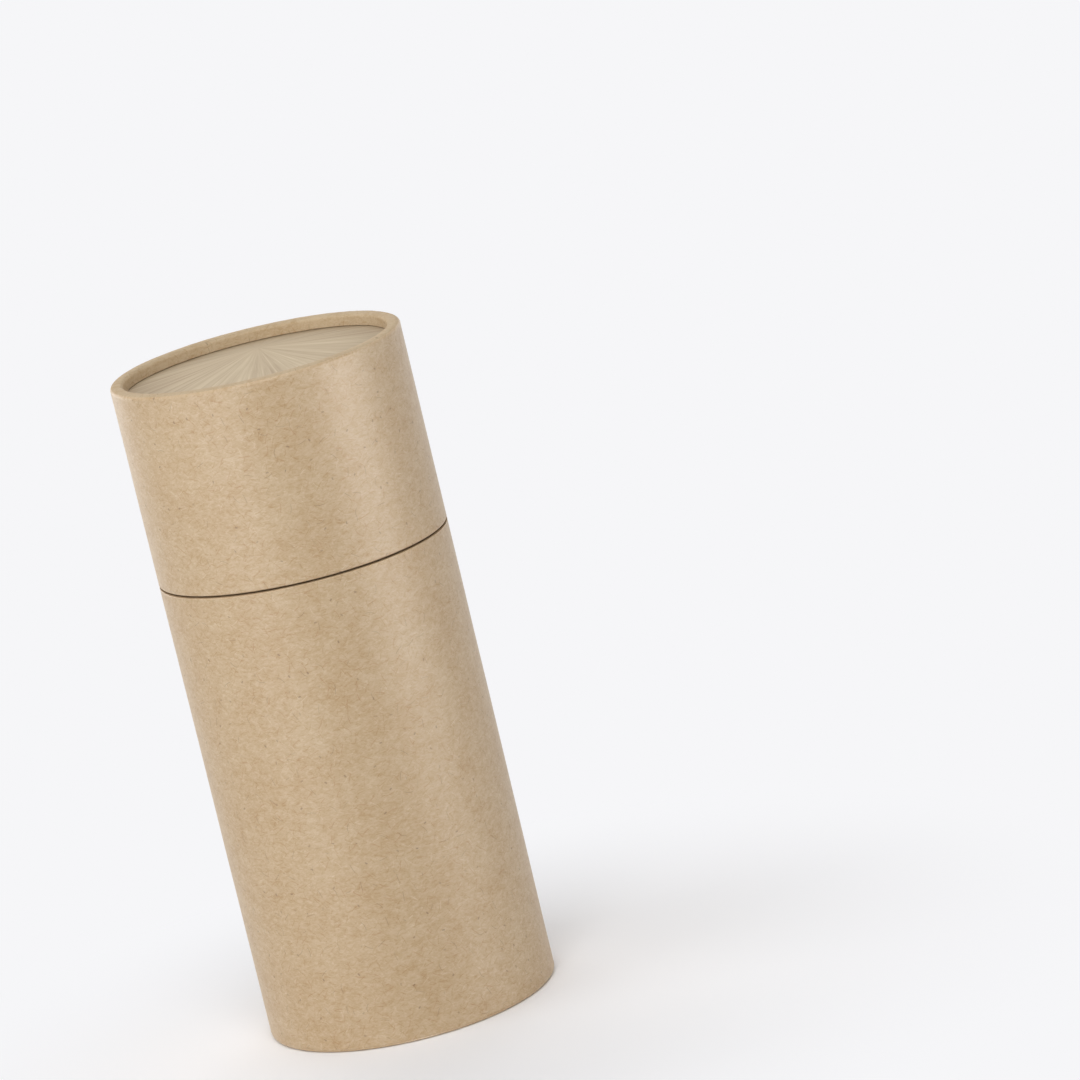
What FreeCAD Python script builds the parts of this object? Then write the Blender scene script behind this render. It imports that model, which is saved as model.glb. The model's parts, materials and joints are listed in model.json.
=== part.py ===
import FreeCAD, Part
import math
import os

# Kraft paperboard mailing tube that stands on its curled base rim, with a lid that pulls off a neck.
# Lengths are in millimetres. The origin is the centre of the base rim, and +Z runs up the tube's axis.

# Wound tube, the same stock for the base and the lid
TUBE_OUTER_RADIUS = 36.5
TUBE_WALL = 1.5
BASE_LENGTH = 118.3
LID_LENGTH = 50.9
SEAM_GAP = 0.4

# Curled end: the wall turns inwards and runs back beside itself, down to the end disc
CURL_GAP = 0.4
CURL_OUTER_BEND = 1.3
CURL_INNER_BEND = 1.1
CURL_DEPTH = 3.3
CURL_TIP_ROUND = 0.3

# Sawn edges of the tubes and the neck, worn soft
CUT_EDGE_ROUND = 0.45

# End discs, one behind each curl
DISC_THICKNESS = 1.8
DISC_CLEARANCE = 0.1
DISC_EDGE_ROUND = 0.2

# Inner sleeve, glued into the base and rising past its cut edge to carry the lid
NECK_WALL = 1.5
NECK_CLEARANCE = 0.12
NECK_RISE = 22.0

TUBE_INNER_RADIUS = TUBE_OUTER_RADIUS - TUBE_WALL
TOTAL_LENGTH = BASE_LENGTH + SEAM_GAP + LID_LENGTH
SMALLEST_RUN = 1e-6


def away(start, end):
    """Unit vector from one outline point to another."""
    direction = end - start
    return direction.normalize()


def rounded_corner(before, corner, after, bend):
    """The start, middle and end of the arc that rounds one corner of an outline."""
    towards_before = away(corner, before)
    towards_after = away(corner, after)
    half_angle = towards_before.getAngle(towards_after) / 2
    setback = bend / math.tan(half_angle)
    inwards = (towards_before + towards_after).normalize()
    middle = corner + inwards * (bend / math.sin(half_angle) - bend)
    return corner + towards_before * setback, middle, corner + towards_after * setback


def outline_face(corners):
    """Flat section in the XZ plane from (radius, height, rounding) corners, each rounded by an arc."""
    points = [FreeCAD.Vector(radius, 0, height) for radius, height, _ in corners]
    arcs = []
    for index, (_, _, bend) in enumerate(corners):
        point = points[index]
        if bend > 0:
            arcs.append(rounded_corner(points[index - 1], point, points[(index + 1) % len(points)], bend))
        else:
            arcs.append((point, point, point))
    edges = []
    for index, (start, middle, end) in enumerate(arcs):
        if start.distanceToPoint(end) > SMALLEST_RUN:
            edges.append(Part.Arc(start, middle, end).toShape())
        following = arcs[(index + 1) % len(arcs)][0]
        if end.distanceToPoint(following) > SMALLEST_RUN:
            edges.append(Part.LineSegment(end, following).toShape())
    return Part.Face(Part.Wire(edges))


def turned(corners):
    """Round solid swept by a section about the tube's axis."""
    return outline_face(corners).revolve(FreeCAD.Vector(0, 0, 0), FreeCAD.Vector(0, 0, 1), 360)


def curled_tube(length):
    """Open tube of the given length whose lower end is curled inwards, standing on the curl at height 0."""
    curl_inner_radius = TUBE_INNER_RADIUS - CURL_GAP - TUBE_WALL
    return turned([
        (TUBE_OUTER_RADIUS, length, CUT_EDGE_ROUND),
        (TUBE_OUTER_RADIUS, 0, CURL_OUTER_BEND),
        (curl_inner_radius, 0, CURL_INNER_BEND),
        (curl_inner_radius, CURL_DEPTH, CURL_TIP_ROUND),
        (curl_inner_radius + TUBE_WALL, CURL_DEPTH, 0),
        (curl_inner_radius + TUBE_WALL, TUBE_WALL, CURL_GAP / 2),
        (TUBE_INNER_RADIUS, TUBE_WALL, CURL_GAP / 2),
        (TUBE_INNER_RADIUS, length, CUT_EDGE_ROUND),
    ])


def end_disc():
    """Board disc that lies on the tip of a curl."""
    radius = TUBE_INNER_RADIUS - DISC_CLEARANCE
    return turned([
        (0, CURL_DEPTH, 0),
        (radius, CURL_DEPTH, DISC_EDGE_ROUND),
        (radius, CURL_DEPTH + DISC_THICKNESS, DISC_EDGE_ROUND),
        (0, CURL_DEPTH + DISC_THICKNESS, 0),
    ])


def neck():
    """Plain sleeve that stands on the base disc and rises past the base tube's cut edge."""
    outer_radius = TUBE_INNER_RADIUS - NECK_CLEARANCE
    foot = CURL_DEPTH + DISC_THICKNESS
    top = BASE_LENGTH + NECK_RISE
    return turned([
        (outer_radius, foot, DISC_EDGE_ROUND),
        (outer_radius, top, CUT_EDGE_ROUND),
        (outer_radius - NECK_WALL, top, CUT_EDGE_ROUND),
        (outer_radius - NECK_WALL, foot, 0),
    ])


def turned_over(shape):
    """The same piece upside down at the other end of the closed tube."""
    flipped = shape.copy()
    flipped.rotate(FreeCAD.Vector(0, 0, TOTAL_LENGTH / 2), FreeCAD.Vector(1, 0, 0), 180)
    return flipped


SUB_PARTS = {
    "base_tube": curled_tube(BASE_LENGTH),
    "base_disc": end_disc(),
    "neck_sleeve": neck(),
    "lid_tube": turned_over(curled_tube(LID_LENGTH)),
    "lid_disc": turned_over(end_disc()),
}

os.makedirs("parts", exist_ok=True)
for node, shape in SUB_PARTS.items():
    shape.exportStep("parts/" + node + ".step")
    print(node, "volume mm3", round(shape.Volume), "valid", shape.isValid())
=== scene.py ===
import json
import math
from collections import namedtuple

import bmesh
import bpy
from bpy.props import FloatProperty, FloatVectorProperty, PointerProperty
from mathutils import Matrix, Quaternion, Vector

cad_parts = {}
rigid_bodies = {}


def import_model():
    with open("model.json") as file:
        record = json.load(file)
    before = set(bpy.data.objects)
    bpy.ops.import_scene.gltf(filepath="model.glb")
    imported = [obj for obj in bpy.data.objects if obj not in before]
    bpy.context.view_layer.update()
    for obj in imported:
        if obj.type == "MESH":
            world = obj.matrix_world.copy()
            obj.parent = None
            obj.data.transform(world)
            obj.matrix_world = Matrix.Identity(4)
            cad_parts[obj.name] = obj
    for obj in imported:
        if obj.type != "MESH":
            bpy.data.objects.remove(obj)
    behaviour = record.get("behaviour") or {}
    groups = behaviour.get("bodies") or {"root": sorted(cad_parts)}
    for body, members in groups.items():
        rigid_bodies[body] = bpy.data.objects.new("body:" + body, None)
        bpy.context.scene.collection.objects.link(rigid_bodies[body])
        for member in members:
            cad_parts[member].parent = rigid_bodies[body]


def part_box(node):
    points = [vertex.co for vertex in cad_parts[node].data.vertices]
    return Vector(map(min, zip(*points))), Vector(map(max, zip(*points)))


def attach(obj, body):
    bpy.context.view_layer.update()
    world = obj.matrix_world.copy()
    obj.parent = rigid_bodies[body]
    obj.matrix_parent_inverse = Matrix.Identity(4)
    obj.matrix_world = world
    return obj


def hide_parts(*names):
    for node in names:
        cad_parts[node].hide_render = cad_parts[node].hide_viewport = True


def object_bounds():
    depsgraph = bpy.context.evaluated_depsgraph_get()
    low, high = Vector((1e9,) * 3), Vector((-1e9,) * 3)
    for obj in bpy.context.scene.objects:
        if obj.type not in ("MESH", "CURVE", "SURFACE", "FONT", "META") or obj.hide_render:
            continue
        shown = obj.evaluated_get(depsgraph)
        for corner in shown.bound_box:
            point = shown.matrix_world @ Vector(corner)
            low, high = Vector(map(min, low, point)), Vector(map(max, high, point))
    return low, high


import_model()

bl_info = {
    "name": "Kraft mailing tube",
    "version": (1, 0, 0),
    "blender": (4, 5, 0),
    "location": "3D View > Sidebar > Mailing tube",
    "description": "Dresses a curled kraft paperboard mailing tube with a lift-off lid",
    "category": "Object",
}

CAD_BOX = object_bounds()
BASE_LOW, BASE_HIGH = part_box("base_tube")
LID_LOW, LID_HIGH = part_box("lid_tube")
BASE_DISC_LOW, BASE_DISC_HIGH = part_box("base_disc")
LID_DISC_LOW, LID_DISC_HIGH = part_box("lid_disc")
NECK_LOW, NECK_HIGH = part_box("neck_sleeve")

MM = 0.001

# Fineness of the meshes: corners round the tube, height of a row of wall faces, steps in each kind of
# rounding and rings on a disc. Corners closer than SAME_PLACE count as one.
AROUND = 288
WALL_ROW = 4.5 * MM
OUTER_BEND_STEPS = 10
INNER_BEND_STEPS = 9
EDGE_STEPS = 4
FINE_STEPS = 3
FOOT_STEPS = 2
DISC_RINGS = 8
SAME_PLACE = 0.004 * MM

# Share of the curl's slit that rounds its fold, share of the cut rounding that shows the sawn board, and
# share of the outer bend where the rim paper, with its soiling and painted shade, starts
SLIT_ROUND_SHARE = 0.45
SAWN_SHARE = 0.6
RIM_PAPER_SHARE = 0.4

# Size of the soft waves in the wall and of the creases in the curl
WAVE_SIZE = 26 * MM
CREASE_SIZE = 2.2 * MM

# One layer of clouding in a paper: size of its blobs in millimetres, how much they are squeezed up the
# tube, how much they curl, and how strong they are
Clouds = namedtuple("Clouds", "size squeeze curl amount seed")

# One layer of fibres: size of the cells that hold one fibre each, length and width of a fibre, all in
# millimetres, share of the cells that have one, spread of directions, bow, and strength
Fibres = namedtuple("Fibres", "cell long wide share spread bow seed strength")

WRAP_CLOUDS = (
    Clouds(11.0, 1.0, 0.0, 0.40, seed=5.0),
    Clouds(3.4, 1.6, 0.4, 0.62, seed=17.0),
    Clouds(1.3, 1.8, 0.8, 0.95, seed=23.0),
    Clouds(0.5, 1.8, 0.4, 0.48, seed=29.0),
)
WRAP_FIBRES = (
    Fibres(1.2, 2.0, 0.26, 1.0, 0.6, 0.8, seed=11.0, strength=0.15),
    Fibres(1.4, 2.2, 0.28, 1.0, 0.7, 0.8, seed=37.0, strength=-0.19),
    Fibres(2.6, 2.6, 0.26, 0.8, 0.9, 1.2, seed=61.0, strength=-0.32),
    Fibres(4.2, 2.6, 0.26, 0.6, 0.9, 1.2, seed=43.0, strength=0.33),
)
WARM_HAIRS = Fibres(3.6, 3.0, 0.32, 0.8, 0.9, 1.4, seed=53.0, strength=0.34)
DARK_HAIRS = Fibres(5.0, 2.8, 0.24, 0.6, 1.2, 1.6, seed=71.0, strength=0.36)
SPECKS = Fibres(5.5, 0.80, 0.55, 0.45, 2.0, 0.0, seed=89.0, strength=0.50)
CORE_CLOUDS = (
    Clouds(12.0, 1.0, 0.0, 0.5, seed=3.0),
    Clouds(2.0, 1.3, 0.4, 0.5, seed=13.0),
    Clouds(0.5, 1.6, 0.6, 0.7, seed=23.0),
)
CORE_FIBRES = (Fibres(1.6, 2.0, 0.28, 0.8, 0.6, 1.2, seed=31.0, strength=-0.2),)
DISC_CLOUDS = (Clouds(6.0, 1.0, 0.0, 0.15, seed=41.0),)
CUT_CLOUDS = (Clouds(0.6, 1.0, 0.0, 0.8, seed=7.0),)

# Mean tone of each paper between its deep and its pale colour
WRAP_TONE = 0.5
# The rim paper's tone is set paler as painted light, lifting the shade on the curl's inner wall.
RIM_TONE = 0.85
DISC_TONE = 0.5
CORE_TONE = 0.5
CUT_TONE = 0.35

# Soiling and painted shade on top of the rims, darker where the paper tilts up: how far the paper has tilted
# up where it starts and ends, and its share
SOIL_AND_PAINTED_SHADE_TILT = (0.2, 0.95)
SOIL_AND_PAINTED_SHADE_SHARE = 0.38

# Plies in one board wall, and how strongly they show at a cut edge
PLIES = 4
PLY_CONTRAST = 0.25

# Streaks on the discs: where they meet and how far from there they fade in, in millimetres; their drift
# for each millimetre outwards; and the scale and strength of the broad and the fine ones
STREAK_MEET = (1.1, 23.7)
STREAK_FADE = (2.0, 14.0)
STREAK_DRIFT = 0.0006
BROAD_SCALE = 5.0
BROAD_STRENGTH = 0.8
FINE_SCALE = 22.0
FINE_STRENGTH = 2.3

# Painted shade at the edge of the discs, darkening them towards the rim's recess: distances from the axis in
# millimetres where it starts and is full
EDGE_SHADE_REACH = (17.0, 36.0)
EDGE_SHADE_SHARE = 0.48


def linear(code):
    """Linear red, green and blue of an sRGB hex colour."""
    channels = [int(code[start:start + 2], 16) / 255 for start in (1, 3, 5)]
    return [c / 12.92 if c <= 0.04045 else ((c + 0.055) / 1.055) ** 2.4 for c in channels]


def length(name, description, default):
    """A length that a user may change, shown in the scene's own units."""
    return FloatProperty(name=name, description=description, default=default, min=0.0, precision=5,
                         unit="LENGTH", subtype="DISTANCE")


def colour(name, description, code):
    """A colour that a user may change."""
    return FloatVectorProperty(name=name, description=description, default=linear(code), size=3,
                               min=0.0, max=1.0, subtype="COLOR")


class TubeSizes(bpy.types.PropertyGroup):
    """Sizes of the board and its folds that the boxes of the pieces don't give."""
    wall: length("Wall", "Thickness of the wound board", 1.5 * MM)
    neck_wall: length("Neck wall", "Thickness of the inner sleeve", 1.5 * MM)
    curl_gap: length("Curl gap", "Slit between the wall and the folded-back edge", 0.4 * MM)
    outer_bend: length("Outer bend", "Radius of the rim's outer edge", 1.3 * MM)
    inner_bend: length("Inner bend", "Radius of the rim's inner edge", 1.1 * MM)
    tip_round: length("Tip rounding", "Softening of the curl's tip at the disc", 0.3 * MM)
    cut_round: length("Cut rounding", "Softening of the sawn edges", 0.45 * MM)
    disc_round: length("Disc rounding", "Softening of the disc's edge", 0.2 * MM)
    wall_wave: length("Wall wave", "How far the wall strays from a true cylinder", 0.12 * MM)
    curl_crease: length("Curl crease", "Depth of the small creases in the curled edge", 0.10 * MM)


class KraftLooks(bpy.types.PropertyGroup):
    """Tones of the papers and boards. Each pale and deep pair bounds the tone of one paper."""
    wrap_pale: colour("Wrap, pale", "Palest formation of the outer kraft paper", "#D2BD9D")
    wrap_deep: colour("Wrap, deep", "Deepest formation of the outer kraft paper", "#B18F63")
    hair_dark: colour("Dark fibre", "Bark fibres and dark specks in the kraft paper", "#6B4E33")
    hair_warm: colour("Warm fibre", "Orange-brown fibres in the kraft paper", "#A87345")
    # Soiling and painted shade: darkens the rim paper where it tilts up, standing in for weaker light from
    # above.
    rim_soil_and_painted_shade: colour("Rubbed rim", "Where the paper on top of the rims is rubbed and soiled", "#96836C")
    disc_pale: colour("Disc, pale", "Palest streaks of the end discs", "#CBBB9E")
    disc_deep: colour("Disc, deep", "Deepest streaks of the end discs", "#A69278")
    # Painted shade that darkens the end discs towards their edge, where the rim's recess shades them.
    disc_edge_shade: colour("Disc, edge", "Dust gathered at the edge of the end discs", "#7D6A52")
    core_pale: colour("Core, pale", "Palest tone of the wound board inside", "#C0A584")
    core_deep: colour("Core, deep", "Deepest tone of the wound board inside", "#9C8263")


class StudioLooks(bpy.types.PropertyGroup):
    """Backdrop, light levels and camera."""
    backdrop: colour("Backdrop", "Pale tone of the backdrop and the far floor", "#F6F6F8")
    fill: FloatProperty(name="Fill", description="Strength of the even light from all round",
                        default=0.25, min=0.0)
    level: FloatProperty(name="Level", description="Factor on the power of every softbox", default=1.0,
                         min=0.0)
    lens: FloatProperty(name="Lens", description="Focal length of the camera", default=203.14, min=1.0,
                        unit="CAMERA", subtype="DISTANCE_CAMERA")


def deselect_all():
    """Leave nothing selected, so that the next operator acts only on its own piece."""
    if bpy.context.object and bpy.context.object.mode != "OBJECT":
        bpy.ops.object.mode_set(mode="OBJECT")
    bpy.ops.object.select_all(action="DESELECT")


def first_ring(name, radius, height):
    """A circle of edges about the tube's axis, selected and open for editing."""
    deselect_all()
    bpy.ops.mesh.primitive_circle_add(vertices=AROUND, radius=radius, location=(0, 0, height))
    bpy.ops.object.transform_apply(location=True, rotation=True, scale=True)
    piece = bpy.context.object
    piece.name = piece.data.name = name
    bpy.ops.object.mode_set(mode="EDIT")
    bpy.ops.mesh.select_mode(type="EDGE")
    bpy.ops.mesh.select_all(action="SELECT")
    return piece


def next_ring(start, end):
    """Extrude the selected ring from one (radius, height) to the next."""
    bpy.ops.mesh.extrude_region_move(TRANSFORM_OT_translate={"value": (0, 0, end[1] - start[1])})
    share = end[0] / start[0]
    bpy.ops.transform.resize(value=(share, share, 1), center_override=(0, 0, 0))


def select_where(kind, test):
    """In edit mode, select the edges or faces whose every corner passes a test on (radius, height)."""
    bpy.ops.mesh.select_mode(type=kind)
    bpy.ops.mesh.select_all(action="DESELECT")
    mesh = bmesh.from_edit_mesh(bpy.context.object.data)
    for item in mesh.edges if kind == "EDGE" else mesh.faces:
        item.select_set(all(test(corner.co.xy.length, corner.co.z) for corner in item.verts))
    bmesh.update_edit_mesh(bpy.context.object.data)


def select_ring(radius, height):
    """Select the ring of edges at one radius and height."""
    select_where("EDGE", lambda r, z: abs(r - radius) < SAME_PLACE and abs(z - height) < SAME_PLACE)


def round_ring(radius, height, bend, segments):
    """Bevel one ring of edges into an arc."""
    select_ring(radius, height)
    bpy.ops.mesh.bevel(offset_type="OFFSET", offset=bend, segments=segments, profile=0.5, affect="EDGES",
                       clamp_overlap=False)


def divide_wall(radius, low, high):
    """Cut the long faces of a wall into rows."""
    bpy.ops.mesh.select_mode(type="EDGE")
    bpy.ops.mesh.select_all(action="DESELECT")
    mesh = bmesh.from_edit_mesh(bpy.context.object.data)
    for edge in mesh.edges:
        on_wall = all(abs(corner.co.xy.length - radius) < SAME_PLACE for corner in edge.verts)
        rise = abs(edge.verts[0].co.z - edge.verts[1].co.z)
        edge.select_set(on_wall and rise > (high - low) / 2)
    bmesh.update_edit_mesh(bpy.context.object.data)
    bpy.ops.mesh.subdivide(number_cuts=max(1, round((high - low) / WALL_ROW)))


def close_to_centre(radius, height):
    """Extrude the selected ring inwards in even steps and gather the last one at the axis."""
    radii = [radius * (DISC_RINGS - step) / DISC_RINGS for step in range(DISC_RINGS)]
    for start, end in zip(radii, radii[1:]):
        next_ring((start, height), (end, height))
    bpy.ops.mesh.extrude_region_move(TRANSFORM_OT_translate={"value": (0, 0, 0)})
    bpy.ops.mesh.merge(type="CENTER")


def turned_loop(name, corners):
    """Closed ring-shaped solid from the (radius, height, bend, segments) corners of its section."""
    piece = first_ring(name, corners[0][0], corners[0][1])
    for start, end in zip(corners, corners[1:] + corners[:1]):
        next_ring(start, end)
    bpy.ops.mesh.select_all(action="SELECT")
    bpy.ops.mesh.remove_doubles(threshold=SAME_PLACE)
    bpy.ops.mesh.normals_make_consistent(inside=False)
    return piece


def round_corners(corners):
    """Bevel each corner of the section that has a bend."""
    for radius, height, bend, segments in corners:
        if bend:
            round_ring(radius, height, bend, segments)


def give_finish(piece, materials, regions):
    """Add the materials, then give each region of faces, a test on (radius, height), its own one."""
    for material in materials:
        piece.data.materials.append(material)
    for index, test in regions:
        select_where("FACE", test)
        piece.active_material_index = index
        bpy.ops.object.material_slot_assign()


def stray(piece, name, test, depth, scale):
    """Press a region of the surface in by a soft noise, as paper and board stray from a true form."""
    select_where("FACE", test)
    bpy.ops.object.mode_set(mode="OBJECT")
    bpy.ops.object.mode_set(mode="EDIT")
    bpy.ops.object.vertex_group_assign_new()
    group = piece.vertex_groups.active
    group.name = name
    bpy.ops.object.mode_set(mode="OBJECT")
    noise = bpy.data.textures.new(piece.name + "_" + name, "CLOUDS")
    noise.noise_scale = scale
    noise.noise_depth = 1
    bpy.ops.object.modifier_add(type="DISPLACE")
    push = piece.modifiers[-1]
    push.texture = noise
    push.texture_coords = "LOCAL"
    push.direction = "NORMAL"
    push.strength = depth
    push.mid_level = 1.0
    push.vertex_group = group.name
    bpy.ops.object.modifier_apply(modifier=push.name)
    bpy.ops.object.mode_set(mode="EDIT")


def finish_piece(piece, body, node):
    """Face the surface outwards, shade it smooth and hang it on its body in place of the plain solid."""
    bpy.ops.mesh.select_all(action="SELECT")
    bpy.ops.mesh.normals_make_consistent(inside=False)
    bpy.ops.object.mode_set(mode="OBJECT")
    bpy.ops.object.shade_smooth()
    bpy.ops.object.modifier_add(type="WEIGHTED_NORMAL")
    bpy.ops.object.modifier_apply(modifier=piece.modifiers[-1].name)
    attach(piece, body)
    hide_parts(node)


def put(tree, kind, links=None, **settings):
    """Add one shader node; links holds the value or the socket for each of its inputs."""
    made = tree.nodes.new("ShaderNode" + kind)
    for key, value in settings.items():
        setattr(made, key, value)
    for key, value in (links or {}).items():
        if isinstance(value, bpy.types.NodeSocket):
            tree.links.new(value, made.inputs[key])
        else:
            made.inputs[key].default_value = value
    return made


def new_material(name):
    """An empty node material."""
    material = bpy.data.materials.new(name)
    material.use_nodes = True
    material.node_tree.nodes.clear()
    return material


class Sheet:
    """Where a paper pattern lies: the place in millimetres, and the directions round and along the tube."""

    def __init__(self, tree):
        space = put(tree, "TexCoord")
        self.place = put(tree, "VectorMath", {0: space.outputs["Object"], "Scale": 1 / MM},
                         operation="SCALE").outputs[0]
        self.normal = space.outputs["Normal"]
        ring = put(tree, "VectorMath", {0: (0.0, 0.0, 1.0), 1: self.place},
                   operation="CROSS_PRODUCT").outputs[0]
        self.around = put(tree, "VectorMath", {0: ring}, operation="NORMALIZE").outputs[0]
        self.along = put(tree, "VectorMath", {0: self.normal, 1: self.around},
                         operation="CROSS_PRODUCT").outputs[0]


def from_axis(tree, sheet):
    """Distance from the tube's axis in millimetres."""
    flat = put(tree, "VectorMath", {0: sheet.place, 1: (1.0, 1.0, 0.0)}, operation="MULTIPLY").outputs[0]
    return put(tree, "VectorMath", {0: flat}, operation="LENGTH").outputs["Value"]


def clouding(tree, sheet, layer):
    """Noise about zero for one layer of clouds."""
    moved = put(tree, "VectorMath", {0: sheet.place, 1: (1.0, 1.0, layer.squeeze),
                                     2: (layer.seed, -layer.seed, 2 * layer.seed)},
                operation="MULTIPLY_ADD").outputs[0]
    noise = put(tree, "TexNoise", {"Vector": moved, "Scale": 1 / layer.size, "Detail": 2.0,
                                   "Roughness": 0.55, "Distortion": layer.curl})
    centred = put(tree, "Math", {0: noise.outputs[0], 1: -0.5}, operation="ADD").outputs[0]
    return put(tree, "Math", {0: centred, 1: layer.amount}, operation="MULTIPLY").outputs[0]


def fibres(tree, sheet, layer):
    """Mask of single short bowed fibres, one at most in each cell and some fainter than others."""
    moved = put(tree, "VectorMath", {0: sheet.place, 1: (layer.seed, 2.3 * layer.seed, -1.7 * layer.seed)},
                operation="ADD").outputs[0]
    cells = put(tree, "TexVoronoi", {"Vector": moved, "Scale": 1 / layer.cell, "Randomness": 1.0},
                voronoi_dimensions="3D", feature="F1")
    chance = put(tree, "SeparateColor", {0: cells.outputs["Color"]})
    offset = put(tree, "VectorMath", {0: moved, 1: cells.outputs["Position"]},
                 operation="SUBTRACT").outputs[0]
    centred = put(tree, "Math", {0: chance.outputs[0], 1: -0.5}, operation="ADD").outputs[0]
    angle = put(tree, "Math", {0: centred, 1: layer.spread * math.pi}, operation="MULTIPLY").outputs[0]
    turned = put(tree, "VectorRotate", {"Vector": offset, "Axis": sheet.normal, "Angle": angle},
                 rotation_type="AXIS_ANGLE").outputs[0]
    run = put(tree, "VectorMath", {0: turned, 1: sheet.around}, operation="DOT_PRODUCT").outputs["Value"]
    side = put(tree, "VectorMath", {0: turned, 1: sheet.along}, operation="DOT_PRODUCT").outputs["Value"]
    bend = put(tree, "Math", {0: chance.outputs[1], 1: -0.5}, operation="ADD").outputs[0]
    squared = put(tree, "Math", {0: run, 1: run}, operation="MULTIPLY").outputs[0]
    bowed = put(tree, "Math", {0: squared, 1: bend}, operation="MULTIPLY").outputs[0]
    off_line = put(tree, "Math", {0: bowed, 1: layer.bow / layer.long, 2: side},
                   operation="MULTIPLY_ADD").outputs[0]
    off_line = put(tree, "Math", {0: off_line}, operation="ABSOLUTE").outputs[0]
    off_end = put(tree, "Math", {0: run}, operation="ABSOLUTE").outputs[0]
    body = put(tree, "MapRange", {0: off_line, 1: layer.wide / 2, 2: layer.wide / 8},
               interpolation_type="SMOOTHSTEP")
    ends = put(tree, "MapRange", {0: off_end, 1: layer.long / 2, 2: layer.long / 3},
               interpolation_type="SMOOTHSTEP")
    taken = put(tree, "MapRange", {0: chance.outputs[2], 1: layer.share, 2: 0.3 * layer.share}).outputs[0]
    shape = put(tree, "Math", {0: body.outputs[0], 1: ends.outputs[0]}, operation="MULTIPLY").outputs[0]
    return put(tree, "Math", {0: shape, 1: taken}, operation="MULTIPLY").outputs[0]


def total(tree, start, parts):
    """Sum of a number and any count of (socket, amount) parts."""
    result = start
    for part, amount in parts:
        result = put(tree, "Math", {0: part, 1: amount, 2: result}, operation="MULTIPLY_ADD").outputs[0]
    return result


def felted(tree, sheet, mean, clouds, fibre_layers):
    """Tone of a paper about its mean tone, from its layers of clouds and fibres."""
    parts = [(clouding(tree, sheet, layer), 1.0) for layer in clouds]
    parts += [(fibres(tree, sheet, layer), layer.strength) for layer in fibre_layers]
    return total(tree, mean, parts)


def blended(tree, share, first, second):
    """Colour between two colours."""
    return put(tree, "Mix", {0: share, 6: first, 7: second}, data_type="RGBA").outputs[2]


def opaque(shade):
    """A colour with full alpha, as colour sockets want it."""
    return (*shade, 1.0)


def paper_shader(tree, tint, relief, depth, roughness, gloss):
    """Matte paper: its tint, a fine relief and a weak broad gloss."""
    bump = put(tree, "Bump", {"Strength": 1.0, "Distance": depth, "Height": relief})
    shader = put(tree, "BsdfPrincipled", {
        "Base Color": tint, "Roughness": roughness, "IOR": 1.5, "Specular IOR Level": gloss,
        "Normal": bump.outputs[0]})
    put(tree, "OutputMaterial", {"Surface": shader.outputs[0]})


def kraft_tint(tree, sheet, looks, mean):
    """Tint and tone of unbleached kraft paper: clouded, felted from fine fibres that lie mostly round the
    tube, with sparse bark fibres and specks."""
    tone = felted(tree, sheet, mean, WRAP_CLOUDS, WRAP_FIBRES)
    tint = blended(tree, tone, opaque(looks.wrap_deep), opaque(looks.wrap_pale))
    for layer, shade in ((WARM_HAIRS, looks.hair_warm), (DARK_HAIRS, looks.hair_dark),
                         (SPECKS, looks.hair_dark)):
        mask = fibres(tree, sheet, layer)
        share = put(tree, "Math", {0: mask, 1: layer.strength}, operation="MULTIPLY").outputs[0]
        tint = blended(tree, share, tint, opaque(shade))
    return tint, tone


def kraft_wrap_paper(looks):
    """Kraft paper, machine-glazed on the outside of the tube, with a weak broad sheen."""
    material = new_material("kraft_wrap_paper")
    tree = material.node_tree
    tint, tone = kraft_tint(tree, Sheet(tree), looks, WRAP_TONE)
    paper_shader(tree, tint, tone, depth=0.02 * MM, roughness=0.42, gloss=0.5)
    return material


def rim_paper_soil_and_painted_light(looks):
    """The same paper where it is curled over: its glaze gone, set paler as painted light in the shaded curl,
    and darker where it tilts up, from soiling and painted shade.
    """
    material = new_material("rim_paper_soil_and_painted_light")
    tree = material.node_tree
    sheet = Sheet(tree)
    tint, tone = kraft_tint(tree, sheet, looks, RIM_TONE)
    # Soiling and painted shade: the rim paper darkens where its surface tilts up or down.
    tilt = put(tree, "SeparateXYZ", {0: sheet.normal}).outputs["Z"]
    tilt = put(tree, "Math", {0: tilt}, operation="ABSOLUTE").outputs[0]
    soiled_with_painted_shade = put(tree, "MapRange", {0: tilt, 1: SOIL_AND_PAINTED_SHADE_TILT[0], 2: SOIL_AND_PAINTED_SHADE_TILT[1], 4: SOIL_AND_PAINTED_SHADE_SHARE},
                 interpolation_type="SMOOTHSTEP").outputs[0]
    tint = blended(tree, soiled_with_painted_shade, tint, opaque(looks.rim_soil_and_painted_shade))
    paper_shader(tree, tint, tone, depth=0.03 * MM, roughness=0.8, gloss=0.25)
    return material


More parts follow.
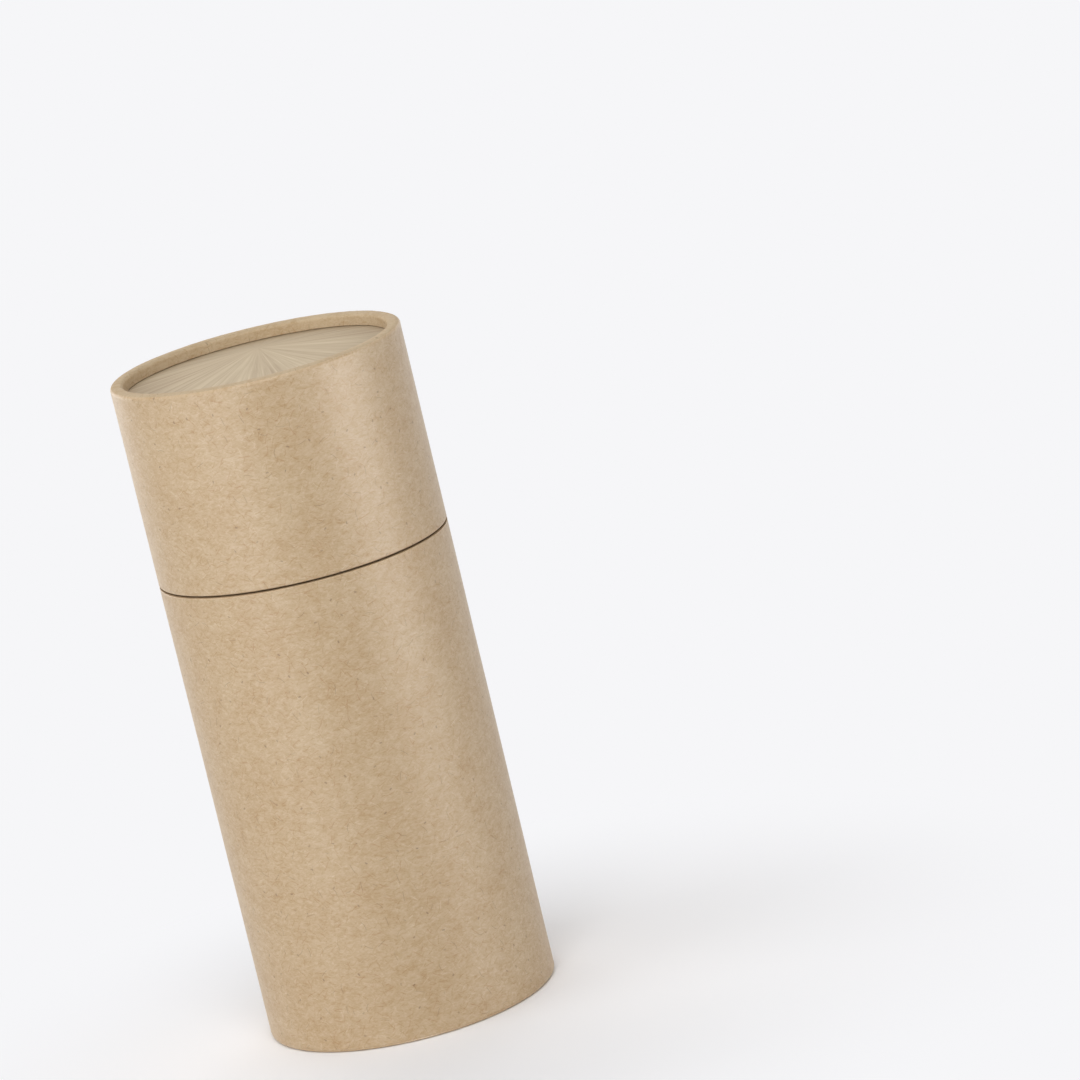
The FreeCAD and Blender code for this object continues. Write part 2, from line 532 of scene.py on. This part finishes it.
def disc_streaks(tree, sheet):
    """Broad and fine streaks that run out from the place where they meet, each about its own mean."""
    flat = put(tree, "VectorMath", {0: sheet.place, 1: (1.0, 1.0, 0.0),
                                    2: (-STREAK_MEET[0], -STREAK_MEET[1], 0.0)},
               operation="MULTIPLY_ADD").outputs[0]
    reach = put(tree, "VectorMath", {0: flat}, operation="LENGTH").outputs["Value"]
    heading = put(tree, "VectorMath", {0: flat}, operation="NORMALIZE").outputs[0]
    rise = put(tree, "Math", {0: reach, 1: STREAK_DRIFT}, operation="MULTIPLY").outputs[0]
    drift = put(tree, "CombineXYZ", {"Z": rise}).outputs[0]
    ray = put(tree, "VectorMath", {0: heading, 1: drift}, operation="ADD").outputs[0]
    broad = put(tree, "TexNoise", {"Vector": ray, "Scale": BROAD_SCALE, "Detail": 1.0})
    fine = put(tree, "TexNoise", {"Vector": ray, "Scale": FINE_SCALE, "Detail": 3.0, "Roughness": 0.8})
    fade = put(tree, "MapRange", {0: reach, 1: STREAK_FADE[0], 2: STREAK_FADE[1]},
               interpolation_type="SMOOTHSTEP").outputs[0]
    centred_broad = put(tree, "Math", {0: broad.outputs[0], 1: -0.5}, operation="ADD").outputs[0]
    centred_fine = put(tree, "Math", {0: fine.outputs[0], 1: -0.5}, operation="ADD").outputs[0]
    faded_fine = put(tree, "Math", {0: centred_fine, 1: fade}, operation="MULTIPLY").outputs[0]
    return [(centred_broad, BROAD_STRENGTH), (faded_fine, FINE_STRENGTH)]


def streaked_disc_board(looks):
    """Punched kraft board with a drawn, streaked face and painted shade darkening it towards its edge."""
    material = new_material("streaked_disc_board")
    tree = material.node_tree
    sheet = Sheet(tree)
    tone = total(tree, felted(tree, sheet, DISC_TONE, DISC_CLOUDS, ()), disc_streaks(tree, sheet))
    tint = blended(tree, tone, opaque(looks.disc_deep), opaque(looks.disc_pale))
    # Painted shade: the disc darkens towards its edge, where the rim's recess shades it.
    painted_edge_shade = put(tree, "MapRange", {0: from_axis(tree, sheet), 1: EDGE_SHADE_REACH[0], 2: EDGE_SHADE_REACH[1],
                                   4: EDGE_SHADE_SHARE}, interpolation_type="SMOOTHSTEP").outputs[0]
    tint = blended(tree, painted_edge_shade, tint, opaque(looks.disc_edge_shade))
    paper_shader(tree, tint, tone, depth=0.02 * MM, roughness=0.7, gloss=0.35)
    return material


def wound_core_board(looks):
    """Unglazed board wound from grey-brown plies, the side of the sleeve and lid that is seen when open."""
    material = new_material("wound_core_board")
    tree = material.node_tree
    tone = felted(tree, Sheet(tree), CORE_TONE, CORE_CLOUDS, CORE_FIBRES)
    tint = blended(tree, tone, opaque(looks.core_deep), opaque(looks.core_pale))
    paper_shader(tree, tint, tone, depth=0.03 * MM, roughness=0.8, gloss=0.25)
    return material


def cut_board_edge(looks, sizes):
    """Sawn edge of the wound board, where the plies show as fine rings."""
    material = new_material("cut_board_edge")
    tree = material.node_tree
    sheet = Sheet(tree)
    ply = sizes.wall / MM / PLIES
    turn = put(tree, "Math", {0: from_axis(tree, sheet), 1: 2 * math.pi / ply},
               operation="MULTIPLY").outputs[0]
    rings = put(tree, "Math", {0: turn}, operation="SINE").outputs[0]
    tone = total(tree, felted(tree, sheet, CUT_TONE, CUT_CLOUDS, ()), [(rings, PLY_CONTRAST)])
    tint = blended(tree, tone, opaque(looks.core_deep), opaque(looks.core_pale))
    paper_shader(tree, tint, tone, depth=0.05 * MM, roughness=0.9, gloss=0.2)
    return material


def shared_material(name, make, *settings):
    """The material of that name, made by its function the first time that a piece asks for it."""
    return bpy.data.materials.get(name) or make(*settings)


def curled_shell(name, rim, cut, disc_face, radius):
    """Open tube whose wall turns inwards at the rim and runs back beside itself to the disc's face."""
    sizes = bpy.context.scene.tube_sizes
    looks = bpy.context.scene.kraft_looks
    inner = radius - sizes.wall
    curl_outer = inner - sizes.curl_gap
    curl_inner = curl_outer - sizes.wall
    inwards = math.copysign(1, cut - rim)
    fold = rim + inwards * sizes.wall
    slit_round = SLIT_ROUND_SHARE * sizes.curl_gap
    corners = [
        (radius, cut, sizes.cut_round, EDGE_STEPS),
        (radius, rim, sizes.outer_bend, OUTER_BEND_STEPS),
        (curl_inner, rim, sizes.inner_bend, INNER_BEND_STEPS),
        (curl_inner, disc_face, sizes.tip_round, EDGE_STEPS),
        (curl_outer, disc_face, 0, 0),
        (curl_outer, fold, slit_round, FINE_STEPS),
        (inner, fold, slit_round, FINE_STEPS),
        (inner, cut, sizes.cut_round, EDGE_STEPS),
    ]
    piece = turned_loop(name, corners)
    for wall in (radius, inner):
        divide_wall(wall, min(rim, cut), max(rim, cut))
    round_corners(corners)
    give_finish(piece, [shared_material("kraft_wrap_paper", kraft_wrap_paper, looks),
                        shared_material("wound_core_board", wound_core_board, looks),
                        shared_material("cut_board_edge", cut_board_edge, looks, sizes),
                        shared_material("rim_paper_soil_and_painted_light", rim_paper_soil_and_painted_light, looks)], [
        (0, lambda r, z: True),
        (1, lambda r, z: inner - SAME_PLACE < r < inner + SAME_PLACE),
        (2, lambda r, z: abs(z - cut) < SAWN_SHARE * sizes.cut_round),
        (3, lambda r, z: r < inner - SAME_PLACE or abs(z - rim) < RIM_PAPER_SHARE * sizes.outer_bend),
    ])
    stray(piece, "wall", lambda r, z: r > radius - SAME_PLACE, sizes.wall_wave, WAVE_SIZE)
    stray(piece, "curl", lambda r, z: r < radius - sizes.outer_bend / 3 and abs(z - rim) < sizes.wall
          or r < curl_outer - SAME_PLACE, sizes.curl_crease, CREASE_SIZE)
    return piece


def board_disc(name, low, high, radius):
    """Round board with softened edges, ring by ring from its rim to its centre on both faces."""
    sizes = bpy.context.scene.tube_sizes
    looks = bpy.context.scene.kraft_looks
    piece = first_ring(name, radius, low)
    next_ring((radius, low), (radius, high))
    close_to_centre(radius, high)
    select_ring(radius, low)
    close_to_centre(radius, low)
    round_corners([(radius, low, sizes.disc_round, FINE_STEPS), (radius, high, sizes.disc_round, FINE_STEPS)])
    give_finish(piece, [shared_material("streaked_disc_board", streaked_disc_board, looks)],
                [(0, lambda r, z: True)])
    return piece


class MAILING_TUBE_OT_base_shell(bpy.types.Operator):
    """Model the base tube with its curled rim"""
    bl_idname = "mailing_tube.base_shell"
    bl_label = "Base tube"

    def execute(self, context):
        piece = curled_shell("base_shell", BASE_LOW.z, BASE_HIGH.z, BASE_DISC_LOW.z, BASE_HIGH.x)
        finish_piece(piece, "base", "base_tube")
        return {"FINISHED"}


class MAILING_TUBE_OT_lid_shell(bpy.types.Operator):
    """Model the lid tube with its curled rim"""
    bl_idname = "mailing_tube.lid_shell"
    bl_label = "Lid tube"

    def execute(self, context):
        piece = curled_shell("lid_shell", LID_HIGH.z, LID_LOW.z, LID_DISC_HIGH.z, LID_HIGH.x)
        finish_piece(piece, "lid", "lid_tube")
        return {"FINISHED"}


class MAILING_TUBE_OT_end_discs(bpy.types.Operator):
    """Model the two end discs behind the curls"""
    bl_idname = "mailing_tube.end_discs"
    bl_label = "End discs"

    def execute(self, context):
        for name, low, high, body, node in (
                ("base_board", BASE_DISC_LOW, BASE_DISC_HIGH, "base", "base_disc"),
                ("lid_board", LID_DISC_LOW, LID_DISC_HIGH, "lid", "lid_disc")):
            piece = board_disc(name, low.z, high.z, high.x)
            finish_piece(piece, body, node)
        return {"FINISHED"}


class MAILING_TUBE_OT_neck(bpy.types.Operator):
    """Model the inner sleeve that carries the lid"""
    bl_idname = "mailing_tube.neck"
    bl_label = "Neck sleeve"

    def execute(self, context):
        sizes = context.scene.tube_sizes
        looks = context.scene.kraft_looks
        outer = NECK_HIGH.x
        inner = outer - sizes.neck_wall
        corners = [
            (outer, NECK_LOW.z, sizes.disc_round, FOOT_STEPS),
            (outer, NECK_HIGH.z, sizes.cut_round, EDGE_STEPS),
            (inner, NECK_HIGH.z, sizes.cut_round, EDGE_STEPS),
            (inner, NECK_LOW.z, 0, 0),
        ]
        piece = turned_loop("neck_liner", corners)
        for wall in (outer, inner):
            divide_wall(wall, NECK_LOW.z, NECK_HIGH.z)
        round_corners(corners)
        give_finish(piece, [shared_material("wound_core_board", wound_core_board, looks),
                            shared_material("cut_board_edge", cut_board_edge, looks, sizes)], [
            (0, lambda r, z: True),
            (1, lambda r, z: NECK_HIGH.z - z < SAWN_SHARE * sizes.cut_round),
        ])
        finish_piece(piece, "base", "neck_sleeve")
        return {"FINISHED"}


# Camera: how far it looks down, its distance from the tube's middle, the point that it looks at, its roll
# and the width of its sensor in millimetres
CAMERA_RISE = math.radians(13.352)
CAMERA_DISTANCE = 1510.5 * MM
CAMERA_AIM = Vector((57.58, 2.52, 106.24)) * MM
CAMERA_ROLL = math.radians(13.314)
SENSOR_WIDTH = 36
FLOOR_SIZE = 30.0

# Where the floor keeps its shadow: the middle of that patch, and the distances where it starts to fade
# and where only the backdrop's tone is left
SHADOW_MIDDLE = (0.01, -0.03, 0.0)
SHADOW_REACH = (0.05, 0.17)

# Name, place, width, height and power of each softbox. All of them face the middle of the tube. The low
# strips light no surface; they only show as the soft bands of gloss down the paper.
SOFTBOXES = (
    ("front_softbox", (0.0, -1.10, 1.50), 1.0, 1.0, 14.6),
    ("side_softbox", (-1.20, -0.25, 0.50), 0.8, 1.4, 5.7),
    ("corner_softbox", (-0.75, -0.95, 1.15), 1.0, 1.0, 2.5),
    ("right_softbox", (1.20, -0.25, 0.50), 0.8, 1.4, 1.4),
    ("back_softbox", (0.0, 0.90, 1.30), 1.2, 0.8, 7.2),
)
GLOSS_STRIPS = (
    ("right_strip", (0.87, -0.50, 0.14), 0.55, 0.26, 5.5),
    ("wide_strip", (0.96, -0.275, 0.14), 1.15, 0.26, 1.5),
    ("left_strip", (-0.64, -0.77, 0.14), 0.70, 0.26, 3.7),
    ("left_edge_strip", (-0.60, 0.80, 0.14), 0.50, 0.26, 1.3),
    ("right_edge_strip", (0.60, 0.80, 0.14), 0.50, 0.26, 0.4),
)

# Small lamp below the floor
UNDER_PLACE = (0.0, 0.0, -0.30)
UNDER_WIDTH = 0.03
UNDER_POWER = 0.22


def softbox(name, place, aim, width, height, power):
    """One plain white area light turned towards a point."""
    deselect_all()
    bpy.ops.object.light_add(type="AREA", location=place)
    lamp = bpy.context.object
    lamp.name = lamp.data.name = name
    lamp.data.shape = "RECTANGLE"
    lamp.data.size = width
    lamp.data.size_y = height
    lamp.data.energy = power
    lamp.rotation_mode = "QUATERNION"
    lamp.rotation_quaternion = (Vector(aim) - Vector(place)).to_track_quat("-Z", "Y")
    lamp.visible_camera = False
    return lamp


def light_underside(floor):
    """A small lamp below the floor that shines through it on the base, for views from below. It stays
    within the tube's radius, so no outer wall catches its light."""
    lamp = softbox("under_lamp", UNDER_PLACE, (0, 0, 0), UNDER_WIDTH, UNDER_WIDTH, UNDER_POWER)
    blockers = bpy.data.collections.new("under_lamp_blockers")
    for piece in bpy.context.scene.objects:
        if piece.type == "MESH" and piece != floor:
            blockers.objects.link(piece)
    lamp.light_linking.blocker_collection = blockers


def seen_directly(tree):
    """One where a ray comes from the camera or from a mirror or a glass, else nought."""
    path = put(tree, "LightPath")
    either = put(tree, "Math", {0: path.outputs["Is Camera Ray"], 1: path.outputs["Is Glossy Ray"]},
                 operation="MAXIMUM").outputs[0]
    return put(tree, "Math", {0: either, 1: path.outputs["Is Transmission Ray"]},
               operation="MAXIMUM").outputs[0]


def light_the_world(studio):
    """Even white light, with the backdrop's own tone wherever it is seen."""
    world = bpy.data.worlds.new("pale_studio")
    world.use_nodes = True
    tree = world.node_tree
    tree.nodes.clear()
    light = put(tree, "Background", {0: (1.0, 1.0, 1.0, 1.0), 1: studio.fill})
    backdrop = put(tree, "Background", {0: opaque(studio.backdrop), 1: 1.0})
    chosen = put(tree, "MixShader", {0: seen_directly(tree), 1: light.outputs[0], 2: backdrop.outputs[0]})
    put(tree, "OutputWorld", {"Surface": chosen.outputs[0]})
    bpy.context.scene.world = world


def pale_floor_paint(studio):
    """Matt white paint near the tube, where it keeps the shadow, and the backdrop's tone further off."""
    material = new_material("matt_white_floor")
    tree = material.node_tree
    space = put(tree, "TexCoord")
    reach = put(tree, "VectorMath", {0: space.outputs["Object"], 1: SHADOW_MIDDLE},
                operation="DISTANCE").outputs["Value"]
    far = put(tree, "MapRange", {0: reach, 1: SHADOW_REACH[0], 2: SHADOW_REACH[1]},
              interpolation_type="SMOOTHSTEP").outputs[0]
    far_seen = put(tree, "Math", {0: far, 1: seen_directly(tree)}, operation="MULTIPLY").outputs[0]
    paint = put(tree, "BsdfDiffuse", {0: opaque(studio.backdrop)})
    glow = put(tree, "Emission", {0: opaque(studio.backdrop), 1: 1.0})
    surface = put(tree, "MixShader", {0: far_seen, 1: paint.outputs[0], 2: glow.outputs[0]})
    below = put(tree, "NewGeometry").outputs["Backfacing"]
    clear = put(tree, "BsdfTransparent")
    whole = put(tree, "MixShader", {0: below, 1: surface.outputs[0], 2: clear.outputs[0]})
    put(tree, "OutputMaterial", {"Surface": whole.outputs[0]})
    return material


class MAILING_TUBE_OT_stage(bpy.types.Operator):
    """Lay the pale floor, hang the soft lights and set the camera"""
    bl_idname = "mailing_tube.stage"
    bl_label = "Stage"

    def execute(self, context):
        studio = context.scene.studio_looks
        deselect_all()
        bpy.ops.mesh.primitive_plane_add(size=FLOOR_SIZE, location=(0, 0, 0))
        floor = context.object
        floor.name = "floor"
        floor.data.materials.append(pale_floor_paint(studio))
        light_the_world(studio)
        middle = (0, 0, CAD_BOX[1].z / 2)
        for name, place, width, height, power in SOFTBOXES:
            softbox(name, place, middle, width, height, power * studio.level)
        for name, place, width, height, power in GLOSS_STRIPS:
            strip = softbox(name, place, middle, width, height, power * studio.level)
            strip.visible_diffuse = False
        light_underside(floor)
        deselect_all()
        place = Vector((0, -math.cos(CAMERA_RISE), math.sin(CAMERA_RISE))) * CAMERA_DISTANCE
        place.z += CAD_BOX[1].z / 2
        bpy.ops.object.camera_add(location=place)
        camera = context.object
        camera.data.lens = studio.lens
        camera.data.sensor_width = SENSOR_WIDTH
        level = (CAMERA_AIM - place).to_track_quat("-Z", "Y")
        camera.rotation_mode = "QUATERNION"
        camera.rotation_quaternion = level @ Quaternion((0, 0, 1), -CAMERA_ROLL)
        context.scene.camera = camera
        context.scene.view_settings.view_transform = "Standard"
        return {"FINISHED"}


class MAILING_TUBE_PT_pieces(bpy.types.Panel):
    """Buttons for the tube's pieces and the stage, and the sizes and tones they use"""
    bl_label = "Mailing tube"
    bl_idname = "MAILING_TUBE_PT_pieces"
    bl_space_type = "VIEW_3D"
    bl_region_type = "UI"
    bl_category = "Mailing tube"

    def draw(self, context):
        for operator in STEPS:
            self.layout.operator(operator.bl_idname)
        for group in (context.scene.tube_sizes, context.scene.kraft_looks, context.scene.studio_looks):
            box = self.layout.box()
            for name in group.__annotations__:
                box.prop(group, name)


GROUPS = {"tube_sizes": TubeSizes, "kraft_looks": KraftLooks, "studio_looks": StudioLooks}
STEPS = (
    MAILING_TUBE_OT_base_shell,
    MAILING_TUBE_OT_neck,
    MAILING_TUBE_OT_lid_shell,
    MAILING_TUBE_OT_end_discs,
    MAILING_TUBE_OT_stage,
)


def register():
    for name, group in GROUPS.items():
        bpy.utils.register_class(group)
        setattr(bpy.types.Scene, name, PointerProperty(type=group))
    for operator in STEPS:
        bpy.utils.register_class(operator)
    bpy.utils.register_class(MAILING_TUBE_PT_pieces)


def unregister():
    bpy.utils.unregister_class(MAILING_TUBE_PT_pieces)
    for operator in reversed(STEPS):
        bpy.utils.unregister_class(operator)
    for name, group in reversed(GROUPS.items()):
        delattr(bpy.types.Scene, name)
        bpy.utils.unregister_class(group)


def main():
    register()
    bpy.ops.mailing_tube.base_shell()
    bpy.ops.mailing_tube.neck()
    bpy.ops.mailing_tube.lid_shell()
    bpy.ops.mailing_tube.end_discs()
    bpy.ops.mailing_tube.stage()


if __name__ == "__main__":
    main()
